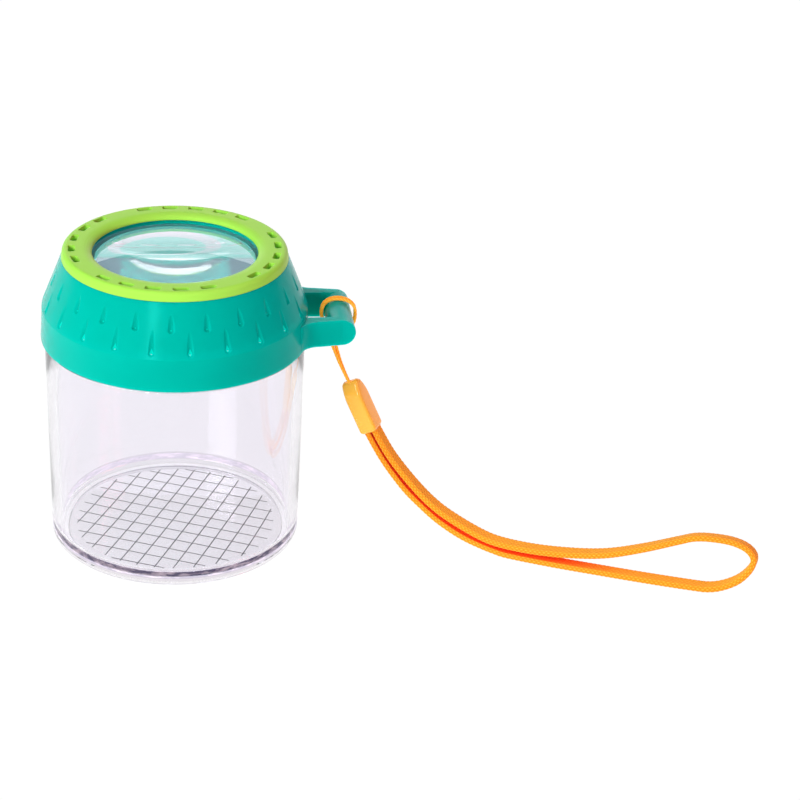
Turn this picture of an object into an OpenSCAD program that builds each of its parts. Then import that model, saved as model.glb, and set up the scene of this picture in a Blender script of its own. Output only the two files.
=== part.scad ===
// Bug catcher jar: a clear jar with a ruled floor, a screw lid that holds a magnifier
// under a ring of air slots, and a wrist strap on the lid's lug.
// Sizes are in millimetres and +Z is up. The origin is where the jar's axis meets the
// surface that its foot stands on, and +X points along the lug of the closed lid.

/* [Jar] */
// Outer radius of the jar at its foot
jar_foot_r = 35.4; // [32:0.1:42]
// How much further out the wall stands at the shoulder than at the foot
jar_draft = 0.75; // [0.2:0.05:1.5]
// Height of the shoulder that the lid comes down to
jar_shoulder_z = 60.5; // [40:0.5:90]
// Thickness of the wall just above the floor
jar_wall = 2.5; // [1.5:0.1:3]
// Thickness of the floor
floor_t = 1.5; // [1:0.1:3]
// Height of the foot ring below the floor
foot_h = 1.4; // [0.8:0.1:3]
// Width of the foot ring
foot_w = 4.2; // [3:0.1:6]
// Radius of the corner between floor and wall
floor_fillet = 2.1; // [1:0.1:3]
// Radius of the rounded edge under the foot
foot_round = 1.1; // [0.4:0.1:1.3]

/* [Neck and thread] */
// How far the neck is set in from the shoulder
neck_step = 1.75; // [1.5:0.05:2.5]
// Height of the neck above the shoulder
neck_h = 10.8; // [9.5:0.1:14]
// Thickness of the neck at the mouth
neck_t = 1.15; // [0.9:0.05:1.4]
// Rise of the thread in one turn
thread_lead = 8; // [7:0.5:10]
// Height of a thread ridge at its root
ridge_root = 1.6; // [1.2:0.1:1.8]
// Height of a thread ridge at its crest
ridge_crest = 0.8; // [0.4:0.1:1]
// How far the jar's ridges stand out of the neck
neck_ridge = 0.9; // [0.7:0.05:1]
// How far the lid's ridges stand into its bore
lid_ridge = 0.9; // [0.7:0.05:1]
// Turn that each ridge on the neck covers, in degrees
neck_ridge_turn = 270; // [180:15:300]
// Turn that each ridge in the lid covers, in degrees
lid_ridge_turn = 120; // [60:15:150]

/* [Lid] */
// Gap between the jar's shoulder and the edge of the closed lid
lid_gap = 0.4; // [0.2:0.1:1]
// Space between the neck and the lid's bore, which the ridges share
thread_room = 1.25; // [1.15:0.05:1.6]
// Thickness of the skirt at its edge
skirt_wall = 1.5; // [1:0.1:2.5]
// Height of the skirt
skirt_h = 9.2; // [8:0.1:12]
// How far the skirt leans in over its height
skirt_lean = 0.45; // [0:0.05:1]
// Height of the cone above the skirt
cone_h = 14.4; // [12:0.1:20]
// Width of the lid's top between the collar of the lens and its edge
top_band = 6.3; // [5.6:0.1:7.5]
// Thickness of the cone
cone_t = 2.3; // [1.8:0.1:3]
// Thickness of the deck under the vent ring
deck_t = 1.6; // [1.2:0.1:2.5]
// How far the ledge that meets the jar's mouth covers its rim
rim_cover = 0.8; // [0.5:0.1:1]

/* [Grip drops] */
// Number of drops in each of the two rows
drop_count = 22; // [12:1:26]
// Angle of the first drop of the upper row, in degrees
drop_turn = -94; // [-180:0.5:180]
// Radius of a drop's round end
drop_r = 0.95; // [0.6:0.05:1.2]
// Depth of a drop
drop_depth = 0.6; // [0.3:0.05:0.7]
// Length of a drop in the upper row
upper_drop = 5.8; // [4:0.1:7]
// Length of a drop in the lower row
lower_drop = 7.7; // [5:0.1:9]
// Height of the upper row's round ends above the skirt
upper_drop_z = 6.5; // [5:0.1:8]
// Height of the lower row's round ends above the skirt
lower_drop_z = 0.7; // [0.4:0.1:3]

/* [Lens] */
// Radius of the clear part of the lens
lens_r = 22.3; // [20:0.1:23]
// Width of the flat rim around it
lens_rim = 1.2; // [0.8:0.1:1.5]
// Thickness of the flat rim
lens_rim_t = 1.8; // [1.2:0.1:2.5]
// How far the upper face bulges
lens_top_bulge = 3; // [1:0.1:5]
// How far the lower face bulges
lens_under_bulge = 2; // [0.5:0.1:4]
// Gap around the lens in its seat
lens_gap = 0.08; // [0.03:0.01:0.1]
// How far the seat's ledge reaches in under the rim
ledge_w = 1.6; // [1:0.1:1.8]
// Thickness of the ledge
ledge_t = 1.4; // [1:0.1:2]
// Thickness of the collar around the lens
collar_t = 1.2; // [0.8:0.1:1.5]
// Height of the collar above the lens's rim
collar_h = 1.35; // [1.1:0.05:1.6]
// How far the snap bead in the collar holds the rim down
snap_w = 0.25; // [0.1:0.05:0.3]

/* [Vent ring] */
// Height of the vent ring above the deck
ring_h = 2.5; // [2:0.1:4]
// Radius of the rounded outer edge
ring_round = 1.3; // [0.8:0.1:1.8]
// How far the ring's side leans in
ring_lean = 0.2; // [0:0.05:0.5]
// How far the ring's opening stands back from the clear part of the lens
eye_margin = 0.4; // [0.1:0.05:0.8]
// Width of the rolled edge around the opening
ring_roll_w = 2.9; // [1.5:0.1:3]
// Height of the rolled edge
ring_roll_h = 1.3; // [0.8:0.05:1.3]
// Length of a slot
slot_len = 4.3; // [3:0.1:5]
// Width of a slot
slot_w = 1.9; // [1.2:0.1:2]
// Radius of a slot's corners
slot_corner = 0.6; // [0.2:0.1:0.8]
// Number of slots in a group
slot_group = 5; // [3:1:5]
// Angle between slots of a group, in degrees
slot_pitch = 15; // [13:0.5:16]
// Angle of the middle of the first group, in degrees
slot_turn = -14; // [-45:0.5:45]
// Radius of the pegs that fix the ring to the deck
peg_r = 1.4; // [1:0.1:1.6]
// How far the pegs come out under the deck
peg_out = 0.6; // [0.2:0.1:1.5]
// Gap around a peg in its hole
peg_gap = 0.05; // [0.03:0.01:0.1]

/* [Lug] */
// Height of the lug
lug_h = 7.5; // [6:0.1:8]
// Height of the lug's underside above the skirt's edge
lug_z = 0.6; // [0:0.1:1]
// Distance from the jar's axis to the end of the lug
lug_reach = 49.4; // [47.5:0.1:56]
// Width of the gap between the lug's arms
lug_gap_w = 16.4; // [12:0.1:20]
// Thickness of an arm at the bar
arm_t = 2.4; // [1.8:0.1:3.5]
// How much thicker an arm is at the lid
arm_taper = 1; // [0:0.1:1.5]
// Radius of the fillet between an arm and the skirt
arm_fillet = 6; // [4:0.5:7]

/* [Cord, bead and strap] */
// Diameter of the thin cord
cord_d = 0.9; // [0.7:0.1:0.9]
// Length of the bead that joins cord and strap
bead_l = 16; // [15:0.5:20]
// Width of the bead, across the strap's flat faces
bead_w = 5.2; // [4.8:0.1:6]
// Depth of the bead, along the strap's width
bead_depth = 6.6; // [6:0.1:8]
// Radius of the bead's rounded edges
bead_round = 1; // [0.5:0.1:1.5]
// Height over which the bead narrows in depth toward the cord
bead_nose_h = 6; // [4:0.5:6.5]
// Radius of the bead's front and back where it narrows
bead_nose_r = 9; // [9:0.5:12]
// Width of the strap
strap_w = 4.6; // [4:0.1:5]
// Thickness of the strap
strap_t = 1.9; // [1.5:0.1:1.9]

/* [Hidden] */

// Overrun of a cut past the faces it opens
over = 0.5;
// Depth that a raised feature is rooted in its wall
root = 0.3;
// Steps in a rounded corner of a profile
corner_steps = 6;
// Steps from the edge of the lens to its middle
lens_steps = 12;
// Fineness of turned shapes, of the drops' round ends and flat-sided tails, of small parts
round_fn = 96;
drop_fn = 32;
tail_fn = 12;
small_fn = 32;

// Heights of the jar, from the surface up
floor_z = foot_h + floor_t;
mouth_z = jar_shoulder_z + neck_h;
// Radii of the jar
jar_shoulder_r = jar_foot_r + jar_draft;
bore_r = jar_foot_r - jar_wall;
neck_r = jar_shoulder_r - neck_step;
mouth_r = neck_r - neck_t;
recess_r = jar_foot_r - foot_w;
shoulder_round = 0.5;
mouth_round = 0.3;

// Radii of the lens and of its seat
rim_r = lens_r + lens_rim;
seat_r = rim_r + lens_gap;
collar_r = seat_r + collar_t;
ledge_r = rim_r - ledge_w;
under_face_r = ledge_r - lens_gap;

// Heights of the lid
lid_z = jar_shoulder_z + lid_gap;
crease_z = lid_z + skirt_h;
deck_z = crease_z + cone_h;
// Radii of the lid
lid_bore_r = neck_r + thread_room;
lid_edge_r = lid_bore_r + skirt_wall;
crease_r = lid_edge_r - skirt_lean;
lid_top_r = collar_r + top_band;
rim_ledge_r = neck_r - rim_cover;
cone_lean = atan((crease_r - lid_top_r) / cone_h);
function cone_r(z) = crease_r - (z - crease_z) * tan(cone_lean);
edge_chamfer = 0.25;

// Threads: two ridges on each piece
starts = 2;
// Height of the neck's ridges at their start above the shoulder, and of the lid's above
// the skirt's edge
neck_ridge_rise = 2.7;
lid_ridge_rise = 1.5;
// How far the closed lid's ridges lie below those of the neck
ridge_rest = 1.4;
neck_ridge_z = jar_shoulder_z + neck_ridge_rise;
lid_ridge_z = lid_z + lid_ridge_rise;
lid_ridge_start = (lid_ridge_z + ridge_rest - neck_ridge_z) / thread_lead * 360;
ridge_step = 7.5;
ridge_runout = 22.5;
ridge_end_share = 0.1;

// Heights of the lens
rim_drop = 0.5;
rim_top_z = deck_z - rim_drop;
rim_under_z = rim_top_z - lens_rim_t;
snap_gap = 0.05;
snap_h = 0.5;
function cap_r(bulge, r) = (r * r + bulge * bulge) / (2 * bulge);

// Vent ring
ring_top_z = deck_z + ring_h;
ring_eye_r = lens_r + eye_margin;
slot_place_share = 0.54;
slot_place_r = collar_r + top_band * slot_place_share;
peg_place_share = 0.42;
peg_place_r = collar_r + top_band * peg_place_share;
collar_gap = 0.1;
ring_seat_z = rim_top_z + collar_h + collar_gap;
groups = 4;
group_turn = 360 / groups;

// Grip drops
drop_pitch = 360 / drop_count;
// Width of a drop's tail, which rises out of the wall, against its round end's
drop_join_share = 0.97;

// Lug
lug_r = lug_h / 2;
lug_mid_z = lid_z + lug_z + lug_r;
bar_x = lug_reach - lug_r;
lug_half = lug_gap_w / 2 + arm_t;
arm_root_x = lid_bore_r * cos(asin(lug_half / lid_edge_r));
fillet_y = lug_half + arm_fillet + arm_taper;
fillet_x = sqrt(pow(lid_edge_r + arm_fillet, 2) - pow(fillet_y, 2));
fillet_turn = atan(fillet_y / fillet_x);

// Bead: its middle, the way it hangs, and its pockets
bead_at = [52.8, -1.5, 38];
bead_lean = 27;
bead_heading = -25;
// The nose's tip is a round that meets the narrowing sides without a corner
nose_tip_r = (pow(bead_depth / 2, 2) + pow(bead_nose_h, 2) - bead_depth * bead_nose_r)
             / (2 * (bead_nose_h - bead_nose_r));
nose_turn = acos((bead_nose_r - bead_depth / 2) / (bead_nose_r - nose_tip_r));
pocket_gap = 0.1;
pocket_depth = 4;
strand_gap = 0.25;

// Half of the cord's route, from the bead up inside the lug, over the bar and down to
// the turn around both strands. Each row is the middle of the pair of strands, then how
// far each strand lies from it away from the jar and along the bar.
cord_half = [
    [49.9, -0.5, 43.4, 0, 0.5], [49, -0.1, 45.3, 0, 0.5], [48, 0.4, 47.4, 0.05, 0.5],
    [46.6, 1.1, 50.6, 0.2, 0.5], [45.3, 1.9, 54.2, 0.42, 0.35],
    [44.2, 2.6, 57, 0.55, 0.2], [41.9, 2.8, 62.4, 0.1, 0.58], [41, 2.8, 65, 0, 0.6],
    [41.5, 2.8, 67.8, 0, 0.6], [43.2, 2.8, 69.3, 0, 0.6], [45.6, 2.8, 69.7, 0, 0.6],
    [48.2, 2.8, 69.1, 0, 0.6], [50.1, 2.8, 67.4, 0, 0.6], [50.6, 2.8, 65, 0, 0.6],
    [50.2, 2.8, 62.4, 0, 0.7], [48.6, 2.8, 60.2, 0, 1.1], [46.2, 2.8, 58.6, 0, 1.7],
    [43.9, 2.8, 57.9, 0, 1.7], [42, 2.8, 57.7, 0, 0.9],
];

// The strap's route, from the bead along the table, up around its far end and back
// on top of itself
strap_route = [
    [53.8, -1.8, 33.8], [55.2, -2.4, 30.5], [57.7, -3.6, 25.9], [60.2, -4.9, 21.9],
    [63, -6.3, 18.1], [66.6, -8.3, 13.9], [70.9, -10.7, 10.1], [74.7, -12.9, 7.2],
    [79, -15.5, 4.8], [82.8, -17.7, 3.2], [86.8, -20, 2.1], [90.7, -22.3, 1.4],
    [94.6, -24.4, 1], [106, -29.7, 1], [118.5, -34.8, 1], [131.2, -39.8, 1],
    [143.6, -44.3, 1], [148, -45.8, 1.2], [151.7, -46.7, 2.2], [155.5, -47.5, 4.4],
    [158.2, -47.7, 7.2], [159.6, -47.4, 9.9], [159.3, -46.8, 12.1], [157.1, -45.6, 14],
    [153.2, -44.1, 15.1], [147.9, -42.4, 15.3], [143.6, -41, 14.7], [139.6, -39.9, 13.2],
    [130.2, -37.7, 9.7], [120.6, -34.8, 6.5], [111.3, -31.6, 4.9], [101.4, -27.7, 4.1],
    [92.8, -23.5, 4], [87.2, -20.3, 4.8], [80.1, -15.9, 7.4], [74.2, -12.6, 10.7],
    [68.3, -9.2, 15.9], [61.8, -5.7, 23.5], [57.1, -3.3, 31.4], [55.5, -2.7, 34.6],
];
strap_heading = -25;
// Height at which the strap's far end starts to lean back, and how much it leans
lean_from_z = 4;
strap_lean = 0.02;
strap_corner_share = 0.3;
cord_sides = 8;

// Points of an arc in a profile
function arc(at, r, from, to, steps = corner_steps) =
    [for (i = [0:steps]) at + r * [cos(from + (to - from) * i / steps),
                                   sin(from + (to - from) * i / steps)]];
function unit(v) = v / norm(v);

// One helical ridge as a closed swept solid. It rises from height z at angle 0, and
// its crest sinks into the wall over a runout at both ends.
module ridge(wall_r, reach, z, turn) {
    steps = ceil(turn / ridge_step);
    side = reach > 0 ? 1 : -1;
    function crest_share(a) = max(ridge_end_share, min(1, a / ridge_runout,
                                                       (turn - a) / ridge_runout));
    function section(i) = let (
        a = turn * i / steps,
        mid = z + thread_lead * a / 360,
        out = wall_r + (reach + side * root) * crest_share(a) - side * root,
        at = function (r, dz) [r * cos(a), r * sin(a), mid + dz]
    ) [at(wall_r - side * root, -ridge_root / 2), at(out, -ridge_crest / 2),
       at(out, ridge_crest / 2), at(wall_r - side * root, ridge_root / 2)];
    rings = [for (i = [0:steps]) section(i)];
    tube(rings, side < 0);
}

// A closed polyhedron over rings of points, one after the other
module tube(rings, flipped = false) {
    n = len(rings[0]);
    last = len(rings) - 1;
    walls = [for (i = [0:last - 1], j = [0:n - 1]) let (
        a = i * n + j, b = i * n + (j + 1) % n, c = a + n, d = b + n
    ) each [[a, b, d], [a, d, c]]];
    caps = concat([for (j = [1:n - 2]) [0, j + 1, j]],
                  [for (j = [1:n - 2]) [last * n, last * n + j, last * n + j + 1]]);
    faces = concat(walls, caps);
    polyhedron([for (r = rings) each r],
               flipped ? [for (f = faces) [f[2], f[1], f[0]]] : faces);
}

// Clear jar with a recessed floor, a shoulder, and a neck with its two thread ridges
module jar() {
    outside = concat(
        [[recess_r, 0]],
        arc([jar_foot_r - foot_round, foot_round], foot_round, -90, 0),
        arc([jar_shoulder_r - shoulder_round, jar_shoulder_z - shoulder_round],
            shoulder_round, 0, 90),
        [[neck_r, jar_shoulder_z]],
        arc([neck_r - mouth_round, mouth_z - mouth_round], mouth_round, 0, 90));
    inside = concat(
        arc([mouth_r + mouth_round, mouth_z - mouth_round], mouth_round, 90, 180),
        [[mouth_r, jar_shoulder_z]],
        arc([bore_r - floor_fillet, floor_z + floor_fillet], floor_fillet, 0, -90),
        [[0, floor_z], [0, foot_h], [recess_r, foot_h]]);
    color([0.95, 0.93, 0.98, 0.35]) {
        union() {
            rotate_extrude($fn = round_fn) polygon(concat(outside, inside));
            for (i = [0:starts - 1])
                rotate([0, 0, 360 / starts * i])
                    ridge(neck_r, neck_ridge, neck_ridge_z, neck_ridge_turn);
        }
    }
}

// One grip drop, lying along the cone with its round end at the bottom
module drop(turn, z, long) {
    rise = atan(drop_depth / (long - drop_r));
    rotate([0, 0, turn])
        translate([cone_r(z), 0, z])
            rotate([0, -cone_lean, 0])
                translate([drop_r - drop_depth, 0, drop_r]) {
                    sphere(r = drop_r, $fn = drop_fn);
                    rotate([0, rise, 0])
                        cylinder(h = long, r = drop_r * drop_join_share, $fn = tail_fn);
                }
}

// Where each air slot goes
module at_slots() {
    for (g = [0:groups - 1], s = [0:slot_group - 1])
        rotate([0, 0, slot_turn + g * group_turn + (s - (slot_group - 1) / 2) * slot_pitch])
            translate([slot_place_r, 0, 0]) children();
}

// An air slot's rounded outline
module slot() {
    soft_rect(slot_w, slot_len, slot_corner);
}

// Where the pegs of the vent ring go, midway between the groups of slots
module at_pegs() {
    for (g = [0:groups - 1])
        rotate([0, 0, slot_turn + (g + 0.5) * group_turn])
            translate([peg_place_r, 0, 0]) children();
}

// Outline of the lug's side: square at the lid and round at the bar
module lug_side() {
    translate([0, -lug_r]) square([bar_x, lug_h]);
    translate([bar_x, 0]) circle(r = lug_r, $fn = round_fn);
}

// Outline of the lug from above, with its arms and the fillets at the skirt
module lug_plan() {
    for (side = [0, 1]) mirror([0, side]) {
        polygon([[arm_root_x, lug_gap_w / 2], [lug_reach, lug_gap_w / 2],
                 [lug_reach, lug_half], [bar_x, lug_half], [fillet_x, lug_half + arm_taper],
                 [arm_root_x, lug_half + arm_taper]]);
        difference() {
            polygon([[arm_root_x, lug_half], [fillet_x, lug_half + arm_taper],
                     [fillet_x, lug_half + arm_taper],
                     [lid_edge_r * cos(fillet_turn), lid_edge_r * sin(fillet_turn)],
                     [lid_bore_r * cos(fillet_turn), lid_bore_r * sin(fillet_turn)]]);
            translate([fillet_x, fillet_y]) circle(r = arm_fillet, $fn = round_fn);
        }
    }
}

// The lug: two arms and a round bar for the cord
module lug() {
    translate([0, 0, lug_mid_z]) {
        intersection() {
            translate([0, 0, -lug_r]) linear_extrude(lug_h) lug_plan();
            translate([0, lug_reach / 2, 0]) rotate([90, 0, 0])
                linear_extrude(lug_reach) lug_side();
        }
        translate([bar_x, lug_half, 0]) rotate([90, 0, 0])
            cylinder(h = 2 * lug_half, r = lug_r, $fn = round_fn);
    }
}

// Lid: skirt with thread ridges, cone with grip drops, slotted deck, lens seat and lug
module lid() {
    cone_in = cone_r(deck_z - deck_t) - cone_t;
    shell = [
        [lid_bore_r + edge_chamfer, lid_z], [lid_edge_r - edge_chamfer, lid_z],
        [lid_edge_r, lid_z + edge_chamfer], [crease_r, crease_z], [lid_top_r, deck_z],
        [collar_r, deck_z], [collar_r, rim_top_z + collar_h],
        [seat_r, rim_top_z + collar_h], [seat_r, rim_top_z + snap_gap + snap_h],
        [seat_r - snap_w, rim_top_z + snap_gap + snap_h / 2],
        [seat_r, rim_top_z + snap_gap], [seat_r, rim_under_z],
        [ledge_r, rim_under_z], [ledge_r, rim_under_z - ledge_t],
        [collar_r, rim_under_z - ledge_t], [collar_r, deck_z - deck_t],
        [cone_in, deck_z - deck_t], [rim_ledge_r, mouth_z], [lid_bore_r, mouth_z],
        [lid_bore_r, lid_z + edge_chamfer],
    ];
    color([0.0, 0.76, 0.68]) {
        union() {
            difference() {
                rotate_extrude($fn = round_fn) polygon(shell);
                for (i = [0:drop_count - 1]) {
                    drop(drop_turn + i * drop_pitch, crease_z + upper_drop_z, upper_drop);
                    drop(drop_turn + (i + 0.5) * drop_pitch, crease_z + lower_drop_z,
                         lower_drop);
                }
                at_slots() translate([0, 0, deck_z - deck_t - over])
                    linear_extrude(deck_t + 2 * over) slot();
                at_pegs() translate([0, 0, deck_z - deck_t - over])
                    cylinder(h = deck_t + 2 * over, r = peg_r + peg_gap, $fn = small_fn);
            }
            difference() {
                lug();
                translate([0, 0, lid_z - over])
                    cylinder(h = lug_h + 2 * over + lug_z, r = lid_bore_r + root,
                             $fn = round_fn);
            }
            for (i = [0:starts - 1])
                rotate([0, 0, 360 / starts * i + lid_ridge_start])
                    ridge(lid_bore_r, -lid_ridge, lid_ridge_z, lid_ridge_turn);
        }
    }
}

// Vent ring: rolled inward over the lens's collar, slotted, and pegged to the deck
module vent_ring() {
    eye_top = ring_top_z - ring_roll_h;
    flat_r = ring_eye_r + ring_roll_w;
    side_r = lid_top_r - ring_lean;
    roll = [for (i = [0:corner_steps]) let (a = 90 - 90 * i / corner_steps)
        [flat_r - ring_roll_w * cos(a), eye_top + ring_roll_h * sin(a)]];
    section = concat(
        [[collar_r + collar_gap, deck_z], [lid_top_r, deck_z]],
        arc([side_r - ring_round, ring_top_z - ring_round], ring_round, 0, 90),
        roll,
        [[ring_eye_r, ring_seat_z], [collar_r + collar_gap, ring_seat_z]]);
    color([0.68, 0.89, 0.39]) {
        difference() {
            rotate_extrude($fn = round_fn) polygon(section);
            at_slots() translate([0, 0, deck_z - over])
                linear_extrude(ring_h + 2 * over) slot();
        }
        at_pegs() translate([0, 0, deck_z - deck_t - peg_out])
            cylinder(h = deck_t + peg_out + root, r = peg_r, $fn = small_fn);
    }
}

// Magnifying lens: two bulging faces and a flat rim
module lens() {
    top_r = cap_r(lens_top_bulge, lens_r);
    under_r = cap_r(lens_under_bulge, under_face_r);
    top_turn = asin(lens_r / top_r);
    under_turn = asin(under_face_r / under_r);
    section = concat(
        arc([0, rim_under_z - lens_under_bulge + under_r], under_r, -90,
            under_turn - 90, lens_steps),
        [[rim_r, rim_under_z], [rim_r, rim_top_z]],
        arc([0, rim_top_z + lens_top_bulge - top_r], top_r, 90 - top_turn, 90,
            lens_steps));
    color([0.8, 0.95, 0.97, 0.4])
        rotate_extrude($fn = round_fn) polygon(section);
}

// The bead's own frame: X across the strap's flat faces, Y along its width, Z up
module at_bead() {
    translate(bead_at) rotate([0, -bead_lean, bead_heading]) children();
}

// Rectangle with round corners about its middle
module soft_rect(w, h, r) {
    square([w, h - 2 * r], center = true);
    square([w - 2 * r, h], center = true);
    for (x = [-1, 1], y = [-1, 1])
        translate([x * (w / 2 - r), y * (h / 2 - r)]) circle(r = r, $fn = small_fn);
}

// Bead: a rounded sleeve with a pocket for the strap's ends
// Side of the bead: straight at the strap's end, narrowed to a round nose at the cord's
module bead_side() {
    edge = [bead_depth / 2 - bead_round, bead_round - bead_l / 2];
    nose = [bead_nose_r - bead_depth / 2, bead_l / 2 - bead_nose_h];
    polygon(concat(
        arc(edge, bead_round, -90, 0),
        arc([-nose[0], nose[1]], bead_nose_r, 0, nose_turn),
        arc([0, bead_l / 2 - nose_tip_r], nose_tip_r, nose_turn, 180 - nose_turn),
        arc(nose, bead_nose_r, 180 - nose_turn, 180),
        arc([-edge[0], edge[1]], bead_round, 180, 270)));
}
module cord_bead() {
    color([1, 0.76, 0.28]) at_bead()
        difference() {
            intersection() {
                translate([0, 0, -bead_l / 2])
                    linear_extrude(bead_l) soft_rect(bead_w, bead_depth, bead_round);
                translate([0, bead_depth / 2, 0]) rotate([90, 0, 0])
                    linear_extrude(bead_depth) soft_rect(bead_w, bead_l, bead_round);
                translate([-bead_w / 2, 0, 0]) rotate([90, 0, 90])
                    linear_extrude(bead_w) bead_side();
            }
            translate([0, 0, -bead_l / 2 - over + (pocket_depth + over) / 2])
                cube([2 * strap_t + strand_gap + 2 * pocket_gap, strap_w + 2 * pocket_gap,
                      pocket_depth + over], center = true);
        }
}

// Frame of a route: unit tangent at a point
function tangent(p, i) = unit(p[min(i + 1, len(p) - 1)] - p[max(i - 1, 0)]);
// Sideways vectors carried along a route without twisting
function carried(p, first) = [
    for (i = 0, s = unit(first - tangent(p, 0) * (first * tangent(p, 0)));
         i < len(p);
         i = i + 1,
         s = i < len(p) ? unit(s - tangent(p, i) * (s * tangent(p, i))) : s) s];

// Thin cord: from the bead, around the lug's bar, around itself and back to the bead
module cord_loop() {
    half = [for (p = cord_half) [p[0] - p[3], p[1] - p[4], p[2]]];
    back = [for (i = [len(cord_half) - 1:-1:0]) let (p = cord_half[i])
        [p[0] + p[3], p[1] + p[4], p[2]]];
    route = concat(half, back);
    sides = carried(route, [0, 1, 0]);
    rings = [for (i = [0:len(route) - 1]) let (t = tangent(route, i), b = cross(t, sides[i]))
        [for (k = [0:cord_sides - 1]) let (a = 360 * k / cord_sides)
            route[i] + cord_d / 2 * (cos(a) * sides[i] + sin(a) * b)]];
    color([1, 0.62, 0.16]) tube(rings);
}

// Flat strap with soft edges, doubled back on itself
module wrist_strap() {
    c = strap_corner_share * strap_t;
    section = [[strap_w / 2, strap_t / 2 - c], [strap_w / 2 - c, strap_t / 2],
               [c - strap_w / 2, strap_t / 2], [-strap_w / 2, strap_t / 2 - c],
               [-strap_w / 2, c - strap_t / 2], [c - strap_w / 2, -strap_t / 2],
               [strap_w / 2 - c, -strap_t / 2], [strap_w / 2, c - strap_t / 2]];
    rings = [for (i = [0:len(strap_route) - 1]) let (
        t = tangent(strap_route, i),
        lean = strap_lean * max(0, strap_route[i][2] - lean_from_z)
               * (strap_route[i][0] > lid_edge_r * 3 ? 1 : 0),
        level = [-sin(strap_heading), cos(strap_heading), -lean],
        s = unit(level - t * (level * t)),
        b = cross(t, s))
        [for (q = section) strap_route[i] + q[0] * s + q[1] * b]];
    color([1, 0.63, 0.2]) tube(rings);
}

jar();
lid();
vent_ring();
lens();
cord_loop();
cord_bead();
wrist_strap();
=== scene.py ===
# %% [markdown]
# # A bug catcher jar, dressed around its CAD frame
#
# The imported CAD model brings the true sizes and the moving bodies: the jar, the lens that
# rises with the lid, and the lid with its strap. This lesson gives each piece its looks.
# Everything is in metres, with Z up, the jar's axis at the origin and the lug along +X.

# %% Load the frame
import math

import bpy
import numpy as np
from mathutils import Matrix, Vector


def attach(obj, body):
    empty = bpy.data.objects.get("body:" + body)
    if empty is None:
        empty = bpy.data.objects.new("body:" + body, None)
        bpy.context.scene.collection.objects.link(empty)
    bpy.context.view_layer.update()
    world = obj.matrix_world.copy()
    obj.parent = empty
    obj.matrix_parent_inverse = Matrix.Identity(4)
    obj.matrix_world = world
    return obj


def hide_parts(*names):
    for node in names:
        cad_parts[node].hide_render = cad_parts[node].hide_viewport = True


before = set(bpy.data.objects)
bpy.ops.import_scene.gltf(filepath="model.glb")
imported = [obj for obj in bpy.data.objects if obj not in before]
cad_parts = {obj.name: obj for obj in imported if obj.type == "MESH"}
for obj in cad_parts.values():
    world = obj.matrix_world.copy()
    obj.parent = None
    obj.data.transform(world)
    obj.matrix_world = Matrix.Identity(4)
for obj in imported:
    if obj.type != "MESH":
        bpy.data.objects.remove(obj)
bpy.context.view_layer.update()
MM = 0.001
print("CAD nodes:", ", ".join(sorted(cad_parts)))

# %% [markdown]
# ## The camera
#
# The photograph was taken a little above the jar with a long lens. A long lens flattens
# the ellipses of the lid and the floor, so the distance matters as much as the angle. A
# camera can be turned by eye in the viewport, but numbers can be changed one at a time and
# compared. So it is placed by its heading, how far it looks down, and a slight roll.

# %% Camera
EYE = Vector((-19.47, -557.46, 325.8)) * MM
HEADING, DOWN, ROLL = (math.radians(a) for a in (8.54, 27.0, 2.89))
LENS_MM, SENSOR_MM = 99.0, 36.0

ahead = Vector((math.sin(HEADING) * math.cos(DOWN), math.cos(HEADING) * math.cos(DOWN),
                -math.sin(DOWN)))
level = Vector((math.cos(HEADING), -math.sin(HEADING), 0))
above = level.cross(ahead)
right = level * math.cos(ROLL) + above * math.sin(ROLL)
up = above * math.cos(ROLL) - level * math.sin(ROLL)

camera = bpy.data.objects.new("camera", bpy.data.cameras.new("camera"))
bpy.context.scene.collection.objects.link(camera)
camera.data.lens = LENS_MM
camera.data.sensor_width = SENSOR_MM
camera.data.clip_start = 10 * MM
camera.data.clip_end = 20.0
camera.matrix_world = Matrix.Translation(EYE) @ Matrix(
    (right, up, -ahead)).transposed().to_4x4()
bpy.context.scene.camera = camera
bpy.context.scene.view_settings.view_transform = "Standard"
print("camera at", [round(c, 3) for c in EYE])

# %% [markdown]
# ## Building meshes from rings
#
# Nearly every piece of this object is either turned, like the jar and the lens, or swept
# along a line, like the strap and the cord. Both are rings of points joined by quads. So
# two helpers are enough: one joins rings, and one puts a mesh into the scene, rounds its
# shading and lets it ride on its body.

# %% Rings into meshes
SHARP = math.radians(32)


def put_piece(name, points, faces, finish, body, nodes=()):
    """A mesh in the scene, with its finish, riding on a body and standing for CAD nodes."""
    mesh = bpy.data.meshes.new(name)
    mesh.from_pydata([tuple(p) for p in points], [], faces)
    mesh.validate()
    mesh.shade_smooth()
    mesh.set_sharp_from_angle(angle=SHARP)
    mesh.materials.append(finish)
    piece = bpy.data.objects.new(name, mesh)
    bpy.context.scene.collection.objects.link(piece)
    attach(piece, body)
    if nodes:
        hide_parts(*nodes)
    return piece


def join_rings(rings, capped=True):
    """Points and quads over equal rings, one after the other, with flat ends."""
    count = len(rings[0])
    points = [p for ring in rings for p in ring]
    faces = []
    for i in range(len(rings) - 1):
        for j in range(count):
            k = (j + 1) % count
            faces.append((i * count + j, i * count + k,
                          (i + 1) * count + k, (i + 1) * count + j))
    if capped:
        faces.append(tuple(range(count - 1, -1, -1)))
        faces.append(tuple((len(rings) - 1) * count + j for j in range(count)))
    return points, faces


print(f"edges sharper than {math.degrees(SHARP):.0f} degrees stay sharp")

# %% Turned outlines


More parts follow.
